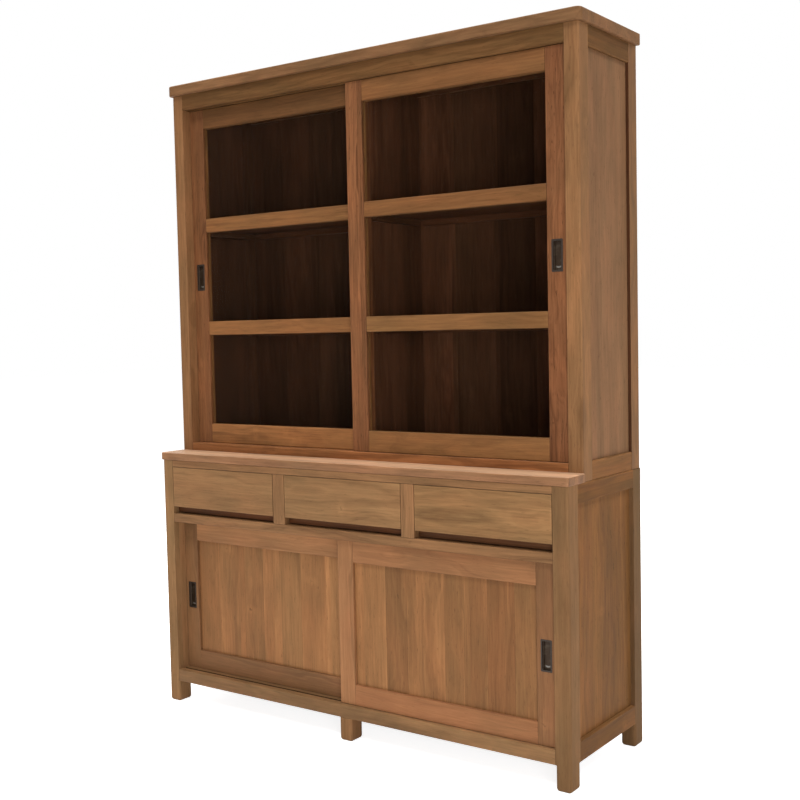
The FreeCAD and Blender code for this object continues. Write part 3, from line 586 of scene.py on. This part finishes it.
# Sides of the hutch
# Rails between the posts round a tall floating panel of glued-up boards.
hutch_side_teak = oiled_teak(
    "hutch_side_teak", (132, 100, 72), figure=0.6, strip_width=0.14, knots=0.1, flecks=0.5, sheen=0.03
)
# As on the base, the rails' upward faces take the paler teak and their edges a strong pale band, painted
# light.
hutch_side_rail_teak = oiled_teak(
    "hutch_side_rail_teak", (127, 90, 55), figure=0.8, joint_shade=0.08, edge_wear_and_highlight=1.4, sheen=0.03
)
# The top rail's lower tone is painted shade under the cornice.
fitted(
    "hutch_side_rails",
    "_timber",
    hutch_side_rail_teak,
    easing=0.002,
    tones=(0.9, 0.6),
    shading_teak=ledge_painted_light_teak,
    shading_ways=("up",),
)
# The panels' inner faces take the darker inside teak, painted shade.
for hand in ("left", "right"):
    fitted(
        "hutch_side_panel_" + hand,
        "_timber",
        hutch_side_teak,
        easing=0.0006,
        shading_teak=inside_painted_shade_teak,
        shading_ways=("inward",),
    )

# Back and inside of the hutch
# Upright boards in grooved rails behind the shelves, a floor, and a partition that splits each shelf.
# Their faces into the cabinet, the floor, shelves and partition take the darker inside teak, painted shade.
fitted("hutch_back_rails", "_timber", back_teak, shading_teak=inside_painted_shade_teak, shading_ways=("forward",))
fitted("hutch_back_boards", "_timber", back_teak, tone_spread=0.35, shading_teak=inside_painted_shade_teak, shading_ways=("forward",))
for board in ("hutch_floor", "hutch_shelves", "hutch_partition"):
    fitted(board, "_timber", inside_painted_shade_teak)

# Cornice
# A flat board that caps the hutch, overhanging at the front and sides, with well rounded corners.
cornice_teak = oiled_teak("cornice_teak", (125, 91, 62), strip_width=0.12, end_shade=0.0, sheen=0.05)
fitted("cornice", "_timber", cornice_teak, easing=0.0008)

# Sliding glazed doors of the hutch
# Redder teak frames with two glazing bars; the rails' tongues run in the sill and the frieze.
hutch_stile_teak = oiled_teak("hutch_stile_teak", (116, 75, 47), figure=1.75, flecks=0.65)
hutch_bar_teak = oiled_teak("hutch_bar_teak", (126, 87, 52))
hutch_stile_tones = {"left": (0.93, 1.0), "right": (1.0, 0.82)}
# The rails grow darker from the bottom rail up to the top rail, painted shade under the frieze, deepest on
# the left door.
hutch_bar_tones = {"left": (1.36, 1.1, 0.91, 0.62), "right": (0.92, 0.84, 0.83, 0.73)}
for hand in ("left", "right"):
    fitted("hutch_door_" + hand + "_stiles", "_timber", hutch_stile_teak, tones=hutch_stile_tones[hand])
    fitted(
        "hutch_door_" + hand + "_rails",
        "_timber",
        hutch_bar_teak,
        easing=0.002,
        tones=hutch_bar_tones[hand],
    )
    fitted("hutch_door_" + hand + "_beads", "_timber", hutch_bar_teak, easing=0.0008)

# Glass
# Clear float glass in rebates behind the glazing bars, held by the beads, with faint smears of cleaning.
# It mirrors only where it is looked along, so that the shelves show through it from the front.
glass = bpy.data.materials.new("clear_glass")
glass.use_nodes = True
glass_tree = glass.node_tree
glass_surface = glass_tree.nodes["Principled BSDF"]
glass_surface.inputs["Base Color"].default_value = (0.8, 0.81, 0.8, 1.0)
glass_surface.inputs["Transmission Weight"].default_value = 1.0
glass_surface.inputs["IOR"].default_value = 1.1
glass_surface.inputs["Specular Tint"].default_value = (0.0, 0.0, 0.0, 1.0)
smear = noise(glass_tree, carried(glass_tree, "grain").outputs["Vector"], 4.0, 0.6, 6.0)
feed(glass_tree, glass_surface.inputs["Roughness"], maths(glass_tree, "MULTIPLY", smear, 0.03))

# Light goes straight through the panes to the shelves; only what is looked at shows the glass
glass_rays = glass_tree.nodes.new("ShaderNodeLightPath").outputs
let_through = maths(glass_tree, "MAXIMUM", glass_rays["Is Shadow Ray"], glass_rays["Is Diffuse Ray"])
feed(glass_tree, glass_surface.inputs["Alpha"], maths(glass_tree, "SUBTRACT", 1.0, let_through))
for hand in ("left", "right"):
    fitted("hutch_door_" + hand + "_glass", "_pane", glass, easing=0.0005)

# Flush pulls
# Cast cups of darkened metal let into the outer stiles, with a greyer rim round a brown hollow. Its ends
# are scooped out, and a pale crescent painted in the lower scoop stands for a highlight.
pull_metal = bpy.data.materials.new("darkened_metal")
pull_metal.use_nodes = True
pull_tree = pull_metal.node_tree
pull_surface = pull_tree.nodes["Principled BSDF"]
pull_place = carried(pull_tree, "grain").outputs["Vector"]
pull_mottle = noise(pull_tree, pull_place, 4.0, 0.6, 160.0)
pull_wear = ramp(pull_tree, noise(pull_tree, pull_place, 3.0, 0.6, 60.0), 0.5, 0.75)
pull_reach = carried(pull_tree, "reach").outputs["Vector"]
pull_depth = split(pull_tree, vectors(pull_tree, "ADD", pull_place, pull_reach))[2]
pull_hollow = ramp(pull_tree, pull_depth, 0.0006, 0.0022)
rim_grey = blend(pull_tree, pull_mottle, linear(41, 33, 28), linear(63, 53, 45))
hollow_brown = blend(pull_tree, pull_mottle, linear(32, 22, 12), linear(56, 39, 23))
pull_colour = blend(pull_tree, pull_hollow, rim_grey, hollow_brown)
pull_colour = blend(pull_tree, pull_wear, pull_colour, linear(62, 51, 40))
# Painted highlight: a pale crescent across the middle of the lower scoop.
pull_up, pull_side, _ = split(pull_tree, pull_place)
side_squared = maths(pull_tree, "MULTIPLY", pull_side, pull_side)
highlight_curve = maths(pull_tree, "MULTIPLY_ADD", side_squared, -30.0, pull_up)
highlight_inside = maths(pull_tree, "SUBTRACT", 1.0, ramp(pull_tree, highlight_curve, -0.0315, -0.029))
highlight_outside = ramp(pull_tree, highlight_curve, -0.036, -0.0335)
painted_highlight = maths(pull_tree, "MULTIPLY", pull_hollow, maths(pull_tree, "MULTIPLY", highlight_inside, highlight_outside))
off_middle = ramp(pull_tree, maths(pull_tree, "ABSOLUTE", pull_side), 0.004, 0.0105)
painted_highlight = maths(pull_tree, "MULTIPLY", painted_highlight, maths(pull_tree, "SUBTRACT", 1.0, off_middle))
pull_colour = blend(pull_tree, painted_highlight, pull_colour, linear(116, 111, 104))
feed(pull_tree, pull_surface.inputs["Base Color"], pull_colour)
feed(pull_tree, pull_surface.inputs["Roughness"], maths(pull_tree, "MULTIPLY_ADD", pull_mottle, 0.25, 0.28))
pull_surface.inputs["Metallic"].default_value = 0.5
pull_surface.inputs["Specular IOR Level"].default_value = 0.3
for door in ("base_door_left", "base_door_right", "hutch_door_left", "hutch_door_right"):
    fitted(door + "_pull", "_metal", pull_metal, easing=0.0005, scoop=0.008)

# Studio floor and surround
# A plain pale floor that takes the cabinet's shadow, in a white room.
floor_half = 30.0
floor_corners = [(x * floor_half, y * floor_half, 0.0) for x, y in ((-1, -1), (1, -1), (1, 1), (-1, 1))]
floor_mesh = bpy.data.meshes.new("studio_floor")
floor_mesh.from_pydata(floor_corners, [], [(0, 1, 2, 3)])
studio_floor = bpy.data.objects.new("studio_floor", floor_mesh)
bpy.context.scene.collection.objects.link(studio_floor)
floor_paint = bpy.data.materials.new("floor_paint")
floor_paint.use_nodes = True
floor_tree = floor_paint.node_tree
floor_surface = floor_tree.nodes["Principled BSDF"]
floor_surface.inputs["Base Color"].default_value = (0.86, 0.86, 0.86, 1.0)
floor_surface.inputs["Roughness"].default_value = 0.9
floor_surface.inputs["Specular IOR Level"].default_value = 0.0
floor_surface.inputs["Emission Color"].default_value = (1.0, 1.0, 1.0, 1.0)


def looked_at(tree):
    """1 where the camera looks straight, or by way of metal or glass, and 0 where light only bounces."""
    rays = tree.nodes.new("ShaderNodeLightPath").outputs
    first_look = maths(tree, "LESS_THAN", rays["Diffuse Depth"], 0.5)
    by_way = maths(tree, "MAXIMUM", rays["Is Glossy Ray"], rays["Is Transmission Ray"])
    return maths(tree, "MAXIMUM", rays["Is Camera Ray"], maths(tree, "MULTIPLY", by_way, first_look))


floor_glow = 0.85
floor_white = maths(floor_tree, "MULTIPLY", looked_at(floor_tree), floor_glow)
feed(floor_tree, floor_surface.inputs["Emission Strength"], floor_white)
floor_mesh.materials.append(floor_paint)

# The room lights the cabinet evenly; the camera looks into white, also by way of metal and glass
room_light = 0.2
world = bpy.data.worlds.new("white_room")
world.use_nodes = True
bpy.context.scene.world = world
world_tree = world.node_tree
sky = world_tree.nodes["Background"]
sky.inputs["Color"].default_value = (1.0, 1.0, 1.0, 1.0)
sky_light = maths(world_tree, "MULTIPLY_ADD", looked_at(world_tree), 1 - room_light, room_light)
feed(world_tree, sky.inputs["Strength"], sky_light)


def softbox(name, stands_at, aims_at, width, power):
    """A large square lamp that points at a place."""
    lamp = bpy.data.lights.new(name, "AREA")
    lamp.size = width
    lamp.energy = power
    holder = bpy.data.objects.new(name, lamp)
    turn = (Vector(stands_at) - Vector(aims_at)).to_track_quat("Z", "Y").to_matrix().to_4x4()
    holder.matrix_world = Matrix.Translation(stands_at) @ turn
    bpy.context.scene.collection.objects.link(holder)


softbox("key_softbox", (-0.4, -4.4, 7.4), (0.0, 0.0, 1.0), 2.4, 250)
softbox("overhead_softbox", (0.0, -0.5, 5.5), (0.0, -0.25, 1.0), 1.6, 155)
softbox("front_softbox", (3.6, -3.6, 1.3), (0.0, 0.0, 1.0), 1.6, 80)
softbox("side_softbox", (6.2, 0.3, 9.0), (0.7, 0.0, 1.4), 3.0, 340)
softbox("left_softbox", (-4.7, 1.0, 2.2), (-0.7, 0.0, 1.0), 1.8, 75)
softbox("back_softbox", (-0.6, 5.0, 3.0), (0.0, 0.0, 1.0), 2.4, 150)

# Camera
# Where the photograph was taken from: in front of the right-hand corner, a little above the counter.
image_pixels = 800
focal_pixels = 1154.84
camera_place = (2.2329, -3.0383, 1.2870)
camera_turn = math.radians(35.51)
camera_tilt = math.radians(-3.41)
camera_roll = math.radians(-1.191)
lens = bpy.data.cameras.new("camera")
lens.sensor_width = 36.0
lens.lens = lens.sensor_width * focal_pixels / image_pixels
camera = bpy.data.objects.new("camera", lens)
camera.matrix_world = (
    Matrix.Translation(camera_place)
    @ Matrix.Rotation(camera_turn, 4, "Z")
    @ Matrix.Rotation(math.radians(90) + camera_tilt, 4, "X")
    @ Matrix.Rotation(camera_roll, 4, "Z")
)
bpy.context.scene.collection.objects.link(camera)
bpy.context.scene.camera = camera
bpy.context.scene.view_settings.view_transform = "Standard"
